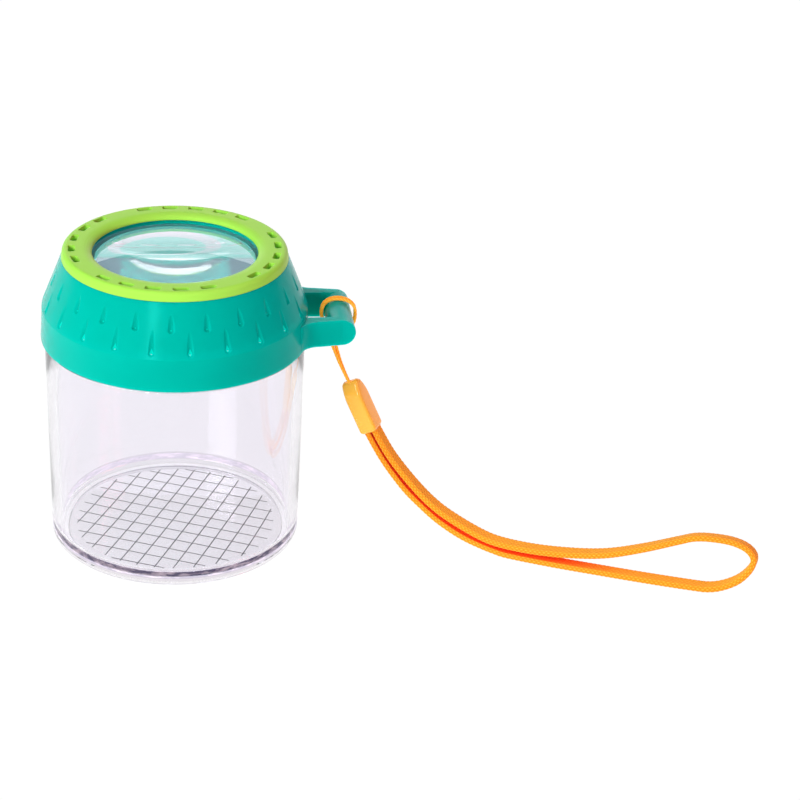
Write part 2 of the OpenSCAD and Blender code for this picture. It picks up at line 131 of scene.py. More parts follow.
def turned(outline, steps, swell=None):
    """Points and faces of a closed outline of (radius, height) turned about the Z axis.

    A swell, when given, adds to the radius by radius, height and angle in degrees.
    """
    points, rows = [], []
    for r, z in outline:
        if r < 1e-7:
            rows.append([len(points)] * steps)
            points.append((0, 0, z))
        else:
            rows.append(list(range(len(points), len(points) + steps)))
            for j in range(steps):
                a = math.tau * j / steps
                out = r + (swell(r, z, 360 * j / steps) if swell else 0.0)
                points.append((out * math.cos(a), out * math.sin(a), z))
    faces = []
    for low, high in zip(rows, rows[1:] + rows[:1]):
        for j in range(steps):
            k = (j + 1) % steps
            corners = []
            for c in (low[j], low[k], high[k], high[j]):
                if c not in corners:
                    corners.append(c)
            if len(corners) > 2:
                faces.append(tuple(corners))
    return points, faces


def arc(middle, radius, start, end, steps=10):
    """Points of an arc in an outline, from one angle to another in degrees."""
    return [(middle[0] + radius * math.cos(math.radians(start + (end - start) * i / steps)),
             middle[1] + radius * math.sin(math.radians(start + (end - start) * i / steps)))
            for i in range(steps + 1)]


print("a quarter arc has", len(arc((0, 0), 1, 0, 90)), "points")

# %% [markdown]
# ## Writing shader maths as sums
#
# A finish is a tree of nodes. Written node by node it is long and hard to read, so one
# small class stands for a socket and turns +, - and * into Math nodes, and a few plain
# words into limits and roots. Another holds a material's tree and adds every other kind
# of node in one way: its type, its settings first, then the values or links of its
# sockets.

# %% A socket that can be added and multiplied


class Wire:
    """The output of a node. Sums and products of wires make Math nodes."""

    def __init__(self, finish, socket):
        self.finish, self.socket = finish, socket

    def maths(self, operation, first, second=0.0):
        """A Math node over two wires or numbers."""
        return self.finish.node("ShaderNodeMath", {"operation": operation},
                                {0: first, 1: second})

    def over(self, limit):
        """One where this is above the limit and nought elsewhere."""
        return self.maths("GREATER_THAN", self, limit)

    def under(self, limit):
        """One where this is below the limit and nought elsewhere."""
        return self.maths("LESS_THAN", self, limit)

    def at_least(self, limit):
        """This, or the limit where this is less."""
        return self.maths("MAXIMUM", self, limit)

    def root(self):
        """The square root of this."""
        return self.maths("SQRT", self)

    def __add__(self, other):
        return self.maths("ADD", self, other)

    def __sub__(self, other):
        return self.maths("SUBTRACT", self, other)

    def __rsub__(self, other):
        return self.maths("SUBTRACT", other, self)

    def __mul__(self, other):
        return self.maths("MULTIPLY", self, other)

    __radd__ = __add__
    __rmul__ = __mul__


print("sums and products of sockets make nodes")

# %% A material being made


class Finish:
    """A material being made: its tree, and the one way to add a node to it."""

    def __init__(self, name):
        self.material = bpy.data.materials.new(name)
        self.material.use_nodes = True
        self.tree = self.material.node_tree
        self.tree.nodes.clear()

    def node(self, kind, settings=None, inputs=None, out=0):
        """A new node: its settings first, then the values or links of its sockets."""
        made = self.tree.nodes.new(kind)
        for key, value in (settings or {}).items():
            setattr(made, key, value)
        for key, value in (inputs or {}).items():
            if isinstance(value, Wire):
                self.tree.links.new(value.socket, made.inputs[key])
            else:
                made.inputs[key].default_value = value
        return Wire(self, made.outputs[out])

    def place(self):
        """Where a point lies on the object, in metres."""
        return self.node("ShaderNodeTexCoord", out="Object")

    def parts_of(self, vector):
        """The x, y and z of a vector, as three wires."""
        split = self.node("ShaderNodeSeparateXYZ", None, {0: vector})
        return [Wire(self, split.socket.node.outputs[i]) for i in range(3)]

    def noise(self, scale, detail=2.0, where=None):
        """Soft random patches, from 0 to 1, with about scale patches in a metre."""
        return self.node("ShaderNodeTexNoise", None,
                         {"Vector": where or self.place(), "Scale": scale,
                          "Detail": detail, "Roughness": 0.55}, out="Fac")

    def between(self, mask, first, second):
        """A colour that goes from the first to the second with the mask."""
        return self.node("ShaderNodeMix", {"data_type": "RGBA"},
                         {0: mask, 6: first, 7: second}, out=2)

    def bumped(self, height, distance, strength, normal=None):
        """A normal that follows a height."""
        inputs = {"Height": height, "Distance": distance, "Strength": strength}
        if normal:
            inputs["Normal"] = normal
        return self.node("ShaderNodeBump", None, inputs)

    def done(self, shader):
        """Closes the tree with this surface and gives the material."""
        end = self.tree.nodes.new("ShaderNodeOutputMaterial")
        self.tree.links.new(shader.socket, end.inputs["Surface"])
        return self.material


print("every other node comes from Finish.node")

# %% Colours as they look on a screen
BLACK, WHITE = (0, 0, 0, 1), (1, 1, 1, 1)


def colour(red, green, blue):
    """A colour given as it looks on a screen, from 0 to 255, as Blender's linear one."""
    parts = [c / 255 for c in (red, green, blue)]
    return tuple(c / 12.92 if c <= 0.04045 else ((c + 0.055) / 1.055) ** 2.4
                 for c in parts) + (1.0,)


print("middle grey, linear:", round(colour(128, 128, 128)[0], 3))

# %% [markdown]
# ## Moulded plastic
#
# The lid and the vent ring are moulded in coloured plastic with a soft gloss, and the bead
# in a more polished one. Up close such a surface is never perfectly even: it has a faint
# orange peel from the mould, the gloss varies a little where it was handled, and no edge
# is truly sharp. The Bevel node rounds the shading of edges, a fine noise bends it, and a
# broad noise varies both the colour and the gloss. The lid and the ring keep their CAD
# meshes, because their drops, slots and threads are fine enough there. Cutting bevels
# into so many edges would only add faces.
#
# The teal plastic lets some light through, which softens its shading. The light that
# enters the lid by its lens and its slots is passed on between its inner faces many more
# times than a render follows, so those faces get a faint glow of their own. They are told
# from the outer ones by where they lie: under the deck and inside the skirt and the cone.

# %% The faces inside the lid
SKIRT_IN_R, CREASE_Z, CONE_SLOPE, DECK_UNDER = 36.3 * MM, 70.1 * MM, 0.42, 81.9 * MM


def inside_lid(finish):
    """One on the lid's inner faces and nought on its outer ones."""
    x, y, z = finish.parts_of(finish.place())
    from_axis = (x * x + y * y).root()
    above_crease = (z - CREASE_Z).at_least(0.0)
    return (from_axis + CONE_SLOPE * above_crease).under(SKIRT_IN_R) * z.under(DECK_UNDER)


print(f"the lid's inside ends at {DECK_UNDER / MM:.1f} mm")

# %% The shader of moulded plastic
PLASTIC_IOR = 1.5
PATCHES, PEEL = 55.0, 1400.0  # patches in a metre, of handling and of the mould's texture
PEEL_DEPTH, PEEL_STRENGTH, GLOSS_CHANGE = 0.03 * MM, 0.25, 0.10


def moulded_plastic(name, deep, bright, shine, gloss, edge, through=0.0, glow=None,
                    painted_glow_elsewhere=BLACK, polish=0.07):
    """A coloured moulded plastic with soft edges and a faint orange peel.

    Its colour lies between deep and bright, and its highlights have the colour shine.
    Through is the share of light that goes into it, glow is painted light on its faces
    inside the lid, and the other glow is painted light on all its faces elsewhere.
    """
    finish = Finish(name)
    broad = finish.noise(PATCHES, 3.0)
    fine = finish.noise(PEEL, 2.0)
    soft = finish.node("ShaderNodeBevel", {"samples": 6}, {"Radius": edge})
    surface = finish.node("ShaderNodeBsdfPrincipled", None, {
        "Base Color": finish.between(broad, deep, bright),
        "Roughness": gloss + GLOSS_CHANGE * (broad - 0.5),
        "Normal": finish.bumped(fine, PEEL_DEPTH, PEEL_STRENGTH, soft),
        "IOR": PLASTIC_IOR,
        "Specular Tint": shine,
        "Specular IOR Level": polish,
        "Subsurface Weight": through,
        "Subsurface Radius": (0.3, 1.0, 0.95),
        "Subsurface Scale": 4 * MM,
        # The emission is painted light: the glow inside the lid, the other glow elsewhere.
        "Emission Color": (finish.between(inside_lid(finish), painted_glow_elsewhere, glow) if glow
                           else painted_glow_elsewhere),
        "Emission Strength": 1.0,
    })
    return finish.done(surface)


print(f"the peel is {PEEL_DEPTH / MM:.2f} mm deep")

# %% Teal, lime and amber plastic
teal_plastic = moulded_plastic(
    "teal_plastic", colour(0, 172, 156), colour(0, 180, 164), shine=colour(60, 255, 240),
    gloss=0.18, edge=0.35 * MM, through=0.8, glow=(0.0, 0.30, 0.24, 1.0))
lime_plastic = moulded_plastic(
    "lime_plastic", colour(156, 222, 74), colour(164, 230, 86), shine=colour(210, 255, 120),
    gloss=0.32, edge=0.30 * MM)
# The amber bead gets a faint painted glow, which brightens it all over.
amber_plastic = moulded_plastic(
    "amber_plastic", colour(255, 192, 64), colour(255, 200, 78),
    shine=colour(255, 250, 245), gloss=0.16, edge=0.30 * MM, painted_glow_elsewhere=(0.10, 0.01, 0, 1),
    polish=0.5)
for node, finish in (("lid", teal_plastic), ("vent_ring", lime_plastic)):
    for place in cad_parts[node].material_slots:
        place.material = finish
print("plastic on the lid and the vent ring")

# %% [markdown]
# ## Clear plastic
#
# The jar and the lens are clear polystyrene. What makes clear plastic readable is its
# edges: light is bent and trapped in the wall and the floor, and leaves a little greyer
# and more violet than it came in. A thin skin that only fades what lies behind it would
# be quicker to render, but it would have no such edges. So both are solid walls with real
# thickness, and the shader bends light by the plastic's own index.
#
# Trapped light is reflected inside the plastic more often than a render follows, and what
# isn't followed comes out black. So the places where it would come out carry a little
# light of their own: streaks of it in the jar's wall beside the floor, a trace on the
# shoulder under the lid, and a faint teal haze all through the lens. The jar's foot and
# the outside of its wall just above it also get painted shade, a darker tint.

# %% Tint, painted shade and carried light of the jar
FOOT_IN_R, WALL_OUT_R, LEDGE_IN_R = 31.0 * MM, 35.1 * MM, 34.6 * MM
FOOT_TOP, FILLET_TOP = 2.2 * MM, 5.2 * MM
BAND_LOW, BAND_HIGH = 2.4 * MM, 4.7 * MM
LEDGE_LOW, LEDGE_HIGH = 60.4 * MM, 60.9 * MM
STREAKS, STREAK_FLATNESS, STREAK_CONTRAST, STREAK_DEPTH = 300.0, 3.0, 4.4, 1.9


def jar_colours(finish, tint):
    """The jar's tint with painted shade at its foot and above it, and its carried light."""
    x, y, z = finish.parts_of(finish.place())
    from_axis_squared = x * x + y * y
    in_foot = from_axis_squared.over(FOOT_IN_R ** 2)
    # Painted shade: the foot is tinted darker, for the shade on the table under the jar.
    tint = finish.between(in_foot * z.under(FOOT_TOP), tint, colour(230, 225, 231))
    outside = from_axis_squared.over(WALL_OUT_R ** 2)
    # Painted shade: the outside of the wall just above the foot is darker, deepening the
    # dark rim.
    tint = finish.between(outside * z.over(FOOT_TOP) * z.under(FILLET_TOP), tint,
                          colour(206, 197, 213))
    in_band = outside * z.over(BAND_LOW) * z.under(BAND_HIGH)
    flattened = finish.node("ShaderNodeVectorMath", {"operation": "MULTIPLY"},
                            {0: finish.place(), 1: (1.0, 1.0, STREAK_FLATNESS)})
    streaks = finish.noise(STREAKS, 3.0, flattened) * STREAK_CONTRAST - STREAK_DEPTH
    carried = finish.between(streaks.at_least(0.0), (0.02, 0.01, 0.06, 1),
                             (0.40, 0.31, 0.37, 1))
    on_ledge = (z.over(LEDGE_LOW) * z.under(LEDGE_HIGH)
                * from_axis_squared.over(LEDGE_IN_R ** 2))
    glow = finish.between(in_band, BLACK, carried)
    return tint, finish.between(on_ledge, glow, (0.20, 0.20, 0.21, 1))


print(f"streaks from {BAND_LOW / MM:.1f} to {BAND_HIGH / MM:.1f} mm")

# %% The shader of clear plastic
RIPPLES, RIPPLE_STRENGTH = 120.0, 0.2  # ripples in a metre, and how much they bend light


def clear_plastic(name, tint, ripple, clearness, glow=BLACK, is_jar=False):
    """Clear plastic with a faint tint and ripples too small to see as such."""
    finish = Finish(name)
    waves = finish.noise(RIPPLES, 1.0)
    if is_jar:
        tint, glow = jar_colours(finish, tint)
    surface = finish.node("ShaderNodeBsdfPrincipled", None, {
        "Base Color": tint,
        "Roughness": 0.0,
        "Normal": finish.bumped(waves, ripple, RIPPLE_STRENGTH),
        "IOR": PLASTIC_IOR,
        "Transmission Weight": clearness,
        "Emission Color": glow,
        "Emission Strength": 1.0,
    })
    return finish.done(surface)


jar_plastic = clear_plastic("jar_plastic", colour(249, 247, 252), ripple=0.02 * MM,
                            clearness=0.965, is_jar=True)
lens_plastic = clear_plastic("lens_plastic", colour(247, 252, 252), ripple=0.005 * MM,
                             clearness=0.93, glow=(0.022, 0.042, 0.052, 1))
print("clear plastic for the jar and the lens, of index", PLASTIC_IOR)

# %% [markdown]
# ## The jar
#
# The jar is one turned wall: a foot ring around a recessed floor, a wall with a little
# draft so that it leaves its mould, a shoulder that the lid comes down to, and a thinner
# neck. The CAD solid has the same shape, but its curves are cut coarsely, and clear
# plastic shows every facet. So the jar is turned again with fine steps. The neck carries
# two thread ridges, started half a turn apart, which the lid's ridges climb. They are
# not swept by themselves: the neck's own rows swell out where a ridge runs, so no face is
# left inside the plastic.

# %% Sizes of the jar
FOOT_R, SHOULDER_R, NECK_R, MOUTH_R, BORE_R, RECESS_R = (
    r * MM for r in (35.4, 36.15, 34.4, 33.25, 32.9, 31.2))
FOOT_H, FLOOR_Z, SHOULDER_Z, MOUTH_Z = (z * MM for z in (1.4, 2.9, 60.5, 71.3))
FOOT_ROUND, FLOOR_FILLET, SHOULDER_ROUND, MOUTH_ROUND = (
    r * MM for r in (1.1, 2.1, 0.5, 0.3))
JAR_TURNS = 384
RECESS_ROUND, RECESS_EDGE = 0.4 * MM, 0.25 * MM
NECK_ROW, NECK_ROWS = 0.2 * MM, 52
print(f"the wall leans out by {(SHOULDER_R - FOOT_R) / MM:.2f} mm")

# %% The thread on the neck
RIDGE_STARTS, RIDGE_Z, LEAD, RIDGE_TURN = 2, 63.2 * MM, 8.0 * MM, 270
RIDGE_OUT, RIDGE_ROOT, RIDGE_CREST, RUNOUT = 0.9 * MM, 1.6 * MM, 0.8 * MM, 22.5
RUNOUT_LEAST = 0.1  # the share of its height that a ridge starts with


def thread_swell(radius, z, angle):
    """How far the neck stands out at a height and angle, where a thread ridge runs."""
    if radius != NECK_R:
        return 0.0
    out = 0.0
    for start in range(RIDGE_STARTS):
        turn = (angle - 360 / RIDGE_STARTS * start) % 360
        if turn > RIDGE_TURN:
            continue
        ends = max(RUNOUT_LEAST, min(1, turn / RUNOUT, (RIDGE_TURN - turn) / RUNOUT))
        aside = abs(z - RIDGE_Z - LEAD * turn / 360)
        flank = (RIDGE_ROOT / 2 - aside) / (RIDGE_ROOT / 2 - RIDGE_CREST / 2)
        out = max(out, RIDGE_OUT * ends * max(0.0, min(1.0, flank)))
    return out


print(f"the thread rises {LEAD / MM:.0f} mm in a turn")

# %% The jar's wall
jar_outline = (
    [(0, FOOT_H), (RECESS_R - RECESS_ROUND, FOOT_H)]
    + arc((RECESS_R - RECESS_ROUND, FOOT_H - RECESS_ROUND), RECESS_ROUND, 90, 0, 5)
    + [(RECESS_R, RECESS_EDGE), (RECESS_R + RECESS_EDGE, 0)]
    + arc((FOOT_R - FOOT_ROUND, FOOT_ROUND), FOOT_ROUND, -90, 0, 14)
    + [(FOOT_R + (SHOULDER_R - FOOT_R) * s, FOOT_ROUND + (SHOULDER_Z - FOOT_ROUND) * s)
       for s in (0.2, 0.4, 0.6, 0.8)]
    + arc((SHOULDER_R - SHOULDER_ROUND, SHOULDER_Z - SHOULDER_ROUND), SHOULDER_ROUND,
          0, 90, 8)
    + [(NECK_R, SHOULDER_Z + NECK_ROW * row) for row in range(NECK_ROWS)]
    + arc((NECK_R - MOUTH_ROUND, MOUTH_Z - MOUTH_ROUND), MOUTH_ROUND, 0, 90, 6)
    + arc((MOUTH_R + MOUTH_ROUND, MOUTH_Z - MOUTH_ROUND), MOUTH_ROUND, 90, 180, 6)
    + [(MOUTH_R, SHOULDER_Z)]
    + arc((BORE_R - FLOOR_FILLET, FLOOR_Z + FLOOR_FILLET), FLOOR_FILLET, 0, -90, 18)
    + [(0, FLOOR_Z)])
jar = put_piece("jar_clear", *turned(jar_outline, JAR_TURNS, thread_swell), jar_plastic,
                "jar_body", ("jar",))
print(f"jar: {len(jar.data.polygons)} faces")

# %% [markdown]
# ## The ruled floor
#
# The floor has a 5 mm grid printed on its underside, which the foot ring keeps off the
# table. Where the print is matters: seen through the floor it looks raised and shifted,
# and light trapped in the floor meets the ink again and again, which gives the dark rim at
# the front. A pattern in the jar's finish could draw the lines, but it would have no
# thickness of its own. So they are thin strips of ink set a hair into the plastic, each
# cut to the circle that the print fills.

# %% Ink
ink_finish = Finish("ink")
ink = ink_finish.done(ink_finish.node("ShaderNodeBsdfPrincipled", None, {
    "Base Color": ink_finish.between(ink_finish.noise(900.0), colour(52, 46, 66),
                                     colour(84, 78, 98)),
    "Roughness": 0.6,
}))
print("ink made:", ink.name)

# %% Grid lines
GRID_STEP, GRID_R = 5 * MM, 28.6 * MM
GRID_TURN = math.radians(-24)
LINE_W, INK_IN, INK_OUT = 0.32 * MM, 0.02 * MM, 0.02 * MM
CROSSING_LIFT = 0.002 * MM  # keeps the faces of crossing lines apart


def grid_strips():
    """Points and faces of the grid's strips, in two directions, cut to the circle."""
    points, faces = [], []
    for across, places in ((0, range(-5, 6)), (1, [k + 0.5 for k in range(-6, 6)])):
        for place in places:
            at = place * GRID_STEP
            reach = math.sqrt(GRID_R ** 2 - at ** 2)
            low, high = (at - LINE_W / 2, -reach), (at + LINE_W / 2, reach)
            corners = [(low[0], low[1]), (high[0], low[1]), (high[0], high[1]),
                       (low[0], high[1])]
            if across:
                corners = [(y, x) for x, y in reversed(corners)]
            lift = CROSSING_LIFT * across
            first = len(points)
            for z in (FOOT_H - INK_OUT - lift, FOOT_H + INK_IN + lift):
                points += [(x * math.cos(GRID_TURN) - y * math.sin(GRID_TURN),
                            x * math.sin(GRID_TURN) + y * math.cos(GRID_TURN), z)
                           for x, y in corners]
            faces += [tuple(first + i for i in face) for face in (
                (3, 2, 1, 0), (4, 5, 6, 7), (0, 1, 5, 4), (1, 2, 6, 5),
                (2, 3, 7, 6), (3, 0, 4, 7))]
    return points, faces


grid = put_piece("floor_grid", *grid_strips(), ink, "jar_body")
print(f"grid: {len(grid.data.polygons) // 6} lines")

# %% [markdown]
# ## The lens
#
# The magnifier is a flat rim with two bulging faces. It bends everything under it, and
# each facet of the CAD solid would show there as a flat spot. So it is turned again with
# fine steps, from two arcs and the straight edge of the rim.

# %% Lens
RIM_TOP, RIM_UNDER, RIM_R, FACE_R, UNDER_R = (
    v * MM for v in (84.0, 82.2, 23.5, 22.3, 21.82))
TOP_BULGE, UNDER_BULGE = 3.0 * MM, 2.0 * MM
LENS_TURNS = 192


def face_arc(radius, bulge, edge_z, upward, steps=24):
    """A bulging face from its middle to its edge, or back, as outline points."""
    ball = (radius ** 2 + bulge ** 2) / (2 * bulge)
    turn = math.degrees(math.asin(radius / ball))
    if upward:
        return arc((0, edge_z + bulge - ball), ball, 90 - turn, 90, steps)
    return arc((0, edge_z - bulge + ball), ball, -90, turn - 90, steps)


lens_outline = (face_arc(UNDER_R, UNDER_BULGE, RIM_UNDER, False)
                + [(RIM_R, RIM_UNDER), (RIM_R, RIM_TOP)]
                + face_arc(FACE_R, TOP_BULGE, RIM_TOP, True))
lens_outline = [(0.0 if abs(r) < 1e-9 else r, z) for r, z in lens_outline]
lens = put_piece("lens_clear", *turned(lens_outline, LENS_TURNS), lens_plastic,
                 "lens_carriage", ("lens",))
print(f"lens: {len(lens.data.polygons)} faces")

# %% [markdown]
# ## The painted teal in the lens's rim
#
# The lens sits in a collar of the teal lid. Its rim shows the collar's colour, because
# light that gets into the rim meets the collar and comes back teal. A thin teal sleeve just
# inside the rim paints that reflection, also where the way of the light is too long for a
# render to follow it.

# %% Painted teal sleeve in the lens's rim
SEAT_R, SEAT_T, SEAT_IN = 23.42 * MM, 0.05 * MM, 0.06 * MM
seat_outline = [(UNDER_R + SEAT_IN, RIM_UNDER + SEAT_IN), (SEAT_R, RIM_UNDER + SEAT_IN),
                (SEAT_R, RIM_TOP - SEAT_IN), (SEAT_R - SEAT_T, RIM_TOP - SEAT_IN),
                (SEAT_R - SEAT_T, RIM_UNDER + SEAT_IN + SEAT_T),
                (UNDER_R + SEAT_IN, RIM_UNDER + SEAT_IN + SEAT_T)]
# The sleeve is a painted reflection of the teal collar, inside the lens's rim.
teal_rim_reflection = put_piece("teal_rim_reflection", *turned(seat_outline, LENS_TURNS), teal_plastic,
                      "lens_carriage")
print(f"seat: {len(teal_rim_reflection.data.polygons)} faces")

# %% [markdown]
# ## The bead
#
# The bead is a small rounded sleeve. The strap's two ends are glued into a pocket at its
# lower end, and the cord's ends into its top. A block with bevels and a pocket cut out
# of it would pinch where the nose narrows. So the bead is built from rounded rectangles
# laid one above the other along its own leaning axis, drawn in at the ends for the soft
# edge, and turned inward at the bottom to make the pocket.

# %% Sizes of the bead
BEAD_AT = Vector((52.8, -1.5, 38)) * MM
BEAD_W, BEAD_D, BEAD_L, BEAD_EDGE = (v * MM for v in (5.2, 6.6, 16.0, 1.0))
BEAD_LEVELS, LEAST_DEPTH, CORNER_SHARE = 61, 0.3 * MM, 0.45
POCKET_W, POCKET_D, POCKET_EDGE, POCKET_H = (v * MM for v in (4.25, 4.8, 0.5, 4.0))
NOSE_H, NOSE_R = 6 * MM, 9 * MM
NOSE_TIP = ((BEAD_D / 2) ** 2 + NOSE_H ** 2 - BEAD_D * NOSE_R) / (2 * (NOSE_H - NOSE_R))
NOSE_TURN = math.acos((NOSE_R - BEAD_D / 2) / (NOSE_R - NOSE_TIP))
bead_place = (Matrix.Translation(BEAD_AT) @ Matrix.Rotation(math.radians(-25), 4, "Z")
              @ Matrix.Rotation(math.radians(-27), 4, "Y"))
print(f"the nose starts {NOSE_H / MM:.0f} mm under the tip")

# %% The bead's outline at each height


def soft_rectangle(width, depth, radius, z, steps=8):
    """A rectangle with round corners as a ring of points at a height."""
    ring = []
    for x, y, start in ((1, 1, 0), (-1, 1, 90), (-1, -1, 180), (1, -1, 270)):
        for px, py in arc((x * (width / 2 - radius), y * (depth / 2 - radius)), radius,
                          start, start + 90, steps):
            ring.append((px, py, z))
    return ring


def half_depth(z):
    """Half of the bead's depth at a height: straight, then narrowing to the nose."""
    above_bend = z - (BEAD_L / 2 - NOSE_H)
    if above_bend <= 0:
        return BEAD_D / 2
    if above_bend <= NOSE_R * math.sin(NOSE_TURN):
        return BEAD_D / 2 - NOSE_R + math.sqrt(NOSE_R ** 2 - above_bend ** 2)
    from_tip = z - (BEAD_L / 2 - NOSE_TIP)
    return math.sqrt(max(NOSE_TIP ** 2 - from_tip ** 2, 0))


def end_inset(z):
    """How far the bead's rounded ends draw its sides in at a height."""
    from_end = BEAD_L / 2 - abs(z)
    if from_end >= BEAD_EDGE:
        return 0.0
    return BEAD_EDGE - math.sqrt(BEAD_EDGE ** 2 - (BEAD_EDGE - from_end) ** 2)


print(f"the bead is {2 * half_depth(0) / MM:.1f} mm deep at its middle")

# %% Bead
bead_rings = []
for share in np.linspace(0, 1, BEAD_LEVELS):
    z = -BEAD_L / 2 * math.cos(share * math.pi)
    width = BEAD_W - 2 * end_inset(z)
    depth = max(2 * min(half_depth(z), BEAD_D / 2 - end_inset(z)), LEAST_DEPTH)
    corner = min(BEAD_EDGE, width * CORNER_SHARE, depth * CORNER_SHARE)
    bead_rings.append(soft_rectangle(width, depth, corner, z))
pocket = [soft_rectangle(POCKET_W, POCKET_D, POCKET_EDGE, z)
          for z in (-BEAD_L / 2 + POCKET_H, -BEAD_L / 2)]
bead_points, bead_faces = join_rings(pocket + bead_rings)
bead = put_piece("bead_amber", [bead_place @ Vector(p) for p in bead_points], bead_faces,
                 amber_plastic, "lid_body", ("cord_bead",))
print(f"bead: {len(bead.data.polygons)} faces")

# %% [markdown]
# ## Lines for the cord and the strap
#
# The cord and the strap follow the same points as their plain CAD solids. A Catmull-Rom
# curve passes through every point and bends softly between them, so the detailed pieces
# lie where the solids lie. Blender's own curve objects could carry a round profile along
# it, but here each point of the surface needs its own stitch height. So the line is only
# cut into even steps, which make stitches and twists the same size all along, and the
# surface is swept later.

# %% Smooth lines in even steps
CURVE_STEPS = 24  # between one given point and the next, before the even steps


def smooth_line(points, step):
    """Evenly spaced points along a Catmull-Rom curve through the given ones."""
    p = np.array(points, float)
    p = np.vstack([2 * p[0] - p[1], p, 2 * p[-1] - p[-2]])
    fine = []
    t = np.linspace(0, 1, CURVE_STEPS, endpoint=False)[:, None]
    for a, b, c, d in zip(p, p[1:], p[2:], p[3:]):
        fine.append(0.5 * (2 * b + (c - a) * t + (2 * a - 5 * b + 4 * c - d) * t ** 2
                           + (3 * b - a - 3 * c + d) * t ** 3))
    fine = np.vstack(fine + [p[-2][None, :]])
    run = np.concatenate([[0], np.cumsum(np.linalg.norm(np.diff(fine, axis=0), axis=1))])
    count = int(round(run[-1] / step))
    even = np.linspace(0, run[-1], count + 1)
    return np.stack([np.interp(even, run, fine[:, i]) for i in range(3)], axis=1), run[-1]


print(CURVE_STEPS, "steps between one given point and the next")

# %% [markdown]
# ## The strap
#
# The strap is a flat knitted band. Rows of loops run along it, and on its edges the loops
# stand out as two rows of little beads that catch the light, while its broad faces are
# nearly smooth. Modelled one by one, these would be more than three thousand loops of
# yarn. A smooth sweep whose points move in and out looks the same from a hand's distance.
# Each ring of the sweep is a rounded rectangle, and every point is pushed out by the
# stitch that it lies on. The same height is stored with the mesh, so that the finish can
# paint shade into the gaps between the stitches.

# %% The strap's way
# Points in mm, from the bead to the table, along it, around the far end and back.
STRAP_POINTS = [
    (53.8, -1.8, 33.8), (55.2, -2.4, 30.5), (57.7, -3.6, 25.9), (60.2, -4.9, 21.9),
    (63, -6.3, 18.1), (66.6, -8.3, 13.9), (70.9, -10.7, 10.1), (74.7, -12.9, 7.2),
    (79, -15.5, 4.8), (82.8, -17.7, 3.2), (86.8, -20, 2.1), (90.7, -22.3, 1.4),
    (94.6, -24.4, 1), (106, -29.7, 1), (118.5, -34.8, 1), (131.2, -39.8, 1),
    (143.6, -44.3, 1), (148, -45.8, 1.2), (151.7, -46.7, 2.2), (155.5, -47.5, 4.4),
    (158.2, -47.7, 7.2), (159.6, -47.4, 9.9), (159.3, -46.8, 12.1), (157.1, -45.6, 14),
    (153.2, -44.1, 15.1), (147.9, -42.4, 15.3), (143.6, -41, 14.7), (139.6, -39.9, 13.2),
    (130.2, -37.7, 9.7), (120.6, -34.8, 6.5), (111.3, -31.6, 4.9), (101.4, -27.7, 4.1),
    (92.8, -23.5, 4), (87.2, -20.3, 4.8), (80.1, -15.9, 7.4), (74.2, -12.6, 10.7),
    (68.3, -9.2, 15.9), (61.8, -5.7, 23.5), (57.1, -3.3, 31.4), (55.5, -2.7, 34.6),
]
STRAP_ROUTE = [tuple(c * MM for c in p) for p in STRAP_POINTS]
strap_line, strap_length = smooth_line(STRAP_ROUTE, 0.2 * MM)
print(f"the strap runs {strap_length / MM:.0f} mm along its middle")

# %% Sizes of the strap
STRAP_W, STRAP_T, STRAP_EDGE = 4.55 * MM, 1.8 * MM, 0.80 * MM
STRAP_HEADING = math.radians(-25)
COLUMNS, COLUMN_STEPS, STITCH = 16, 6, 1.3 * MM
LEAN_FROM_X, LEAN_FROM_Z, LEAN = 111.5 * MM, 4 * MM, 20  # the loop's end tips over
EDGE_FROM, EDGE_OVER = 0.36 * STRAP_W, 0.12 * STRAP_W
FACE_DEPTH, EDGE_DEPTH = 0.05 * MM, 0.11 * MM
ROW_SLANT, ROW_SHIFT, STITCH_ROUND = 0.55, 0.5, 0.6
print(f"the strap is {STRAP_W / MM:.2f} x {STRAP_T / MM:.2f} mm")

# %% The strap's section


def unit(v):
    """Vectors of length one."""
    return v / np.linalg.norm(v, axis=-1, keepdims=True)


def strap_outline(count):
    """Evenly spaced points around the strap's section, with where each lies around it."""
    dense = []
    for x, y, start in ((1, 1, 0), (-1, 1, 90), (-1, -1, 180), (1, -1, 270)):
        dense += arc((x * (STRAP_W / 2 - STRAP_EDGE), y * (STRAP_T / 2 - STRAP_EDGE)),
                     STRAP_EDGE, start, start + 90, 24)
    dense = np.array(dense + dense[:1])
    run = np.concatenate([[0], np.cumsum(np.linalg.norm(np.diff(dense, axis=0), axis=1))])
    share = np.arange(count) / count
    at = np.stack([np.interp(share * run[-1], run, dense[:, i]) for i in (0, 1)], axis=1)
    ahead_at = np.stack([np.interp((share + 0.002) % 1 * run[-1], run, dense[:, i])
                         for i in (0, 1)], axis=1)
    along = unit(ahead_at - at)
    out = np.stack([along[:, 1], -along[:, 0]], axis=1)
    return at, out, share


print("points around the strap:", COLUMNS * COLUMN_STEPS)

# %% Knitted strap


